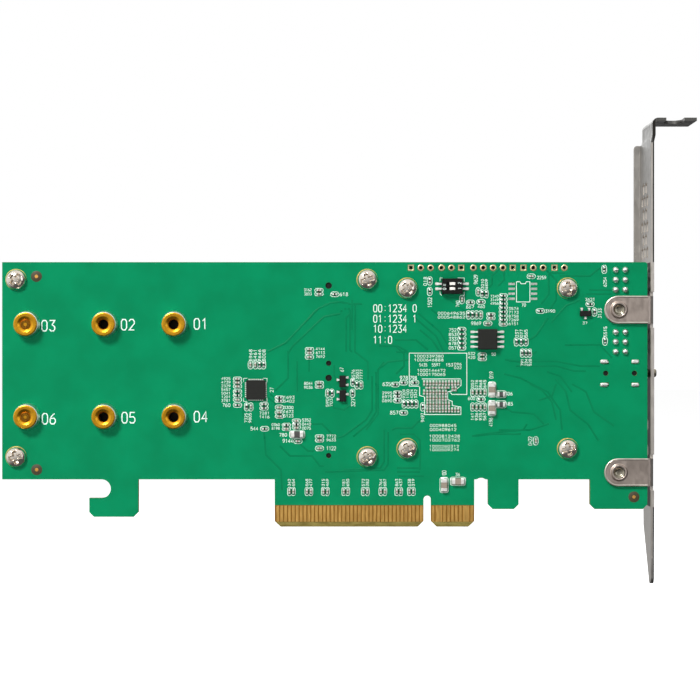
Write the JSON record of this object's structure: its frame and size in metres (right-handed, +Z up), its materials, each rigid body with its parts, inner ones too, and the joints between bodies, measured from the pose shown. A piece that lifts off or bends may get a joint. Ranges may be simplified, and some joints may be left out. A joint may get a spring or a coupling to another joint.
{
  "type": "ssd controller card",
  "caption": "Edge-connected storage controller card with two drive sockets, finned heatsinks and a full-height folded bracket.",
  "frame": {"origin": "middle of the key notch at the lower end of the edge contacts, halfway through the board", "axes": "+X along the board towards the bracket, +Z up from the contacts, -Y out of the solder side"},
  "size_m": [0.1788, 0.0202, 0.12],
  "materials": {
    "board_laminate": "green solder mask over glass laminate",
    "contact_gold": "gold plate",
    "bracket_nickel": "nickel-plated steel sheet",
    "screw_nickel": "nickel-plated steel",
    "nut_brass": "turned brass",
    "sink_aluminium": "anodised aluminium",
    "socket_black": "moulded glass-filled plastic",
    "lead_tin": "tin-plated copper",
    "package_black": "moulded epoxy",
    "slider_white": "moulded nylon",
    "lamp_clear": "diffused epoxy",
    "resistor_black": "alumina chip with a glass film",
    "capacitor_tan": "barium titanate chip",
    "ferrite_grey": "sintered ferrite",
    "thermal_pad": "soft gap pad",
    "inductor_grey": "pressed iron powder"
  },
  "bodies": {
    "card": {"circuit_board": "board_laminate", "edge_contacts_solder_side": "contact_gold", "edge_contacts_component_side": "contact_gold", "mounting_bracket": "bracket_nickel", "bracket_screws": "screw_nickel", "drive_heatsink": "sink_aluminium", "drive_heatsink_screws": "screw_nickel", "chip_heatsink": "sink_aluminium", "chip_heatsink_screws": "screw_nickel", "chip_thermal_pad": "thermal_pad", "controller_chip": "package_black", "drive_socket_upper": "socket_black", "drive_socket_lower": "socket_black", "socket_contacts_upper": "contact_gold", "socket_contacts_lower": "contact_gold", "drive_post_upper": "nut_brass", "drive_post_lower": "nut_brass", "lamp_holder_upper": "socket_black", "lamp_holder_lower": "socket_black", "status_lamps": "lamp_clear", "lamp_leads": "lead_tin", "button_base": "socket_black", "button_frame": "lead_tin", "switch_housing": "package_black", "switch_leads": "lead_tin", "chip_resistors": "resistor_black", "chip_capacitors": "capacitor_tan", "decoupling_capacitors": "capacitor_tan", "bulk_capacitors": "capacitor_tan", "ferrite_beads": "ferrite_grey", "transistors": "package_black", "transistor_leads": "lead_tin", "flash_chip": "package_black", "flash_leads": "lead_tin", "interface_chip": "package_black", "interface_pads": "lead_tin", "power_inductors": "inductor_grey", "regulator_chips": "package_black", "clock_crystal": "lead_tin", "input_capacitors": "capacitor_tan", "drive_nut_1": "nut_brass", "drive_nut_2": "nut_brass", "drive_nut_3": "nut_brass", "drive_nut_4": "nut_brass", "drive_nut_5": "nut_brass", "drive_nut_6": "nut_brass"},
    "plunger": {"button_plunger": "screw_nickel"},
    "slider_one": {"switch_slider_1": "slider_white"},
    "slider_two": {"switch_slider_2": "slider_white"}
  },
  "joints": [
    {"name": "button_press", "type": "slide", "parent": "card", "child": "plunger", "axis": [-1, 0, 0], "range_m": [0, 0.0004], "stiffness_N_per_m": 800},
    {"name": "switch_slider_one_slide", "type": "slide", "parent": "card", "child": "slider_one", "axis": [-1, 0, 0], "range_m": [0, 0.0007]},
    {"name": "switch_slider_two_slide", "type": "slide", "parent": "card", "child": "slider_two", "axis": [-1, 0, 0], "range_m": [0, 0.0007]}
  ]
}
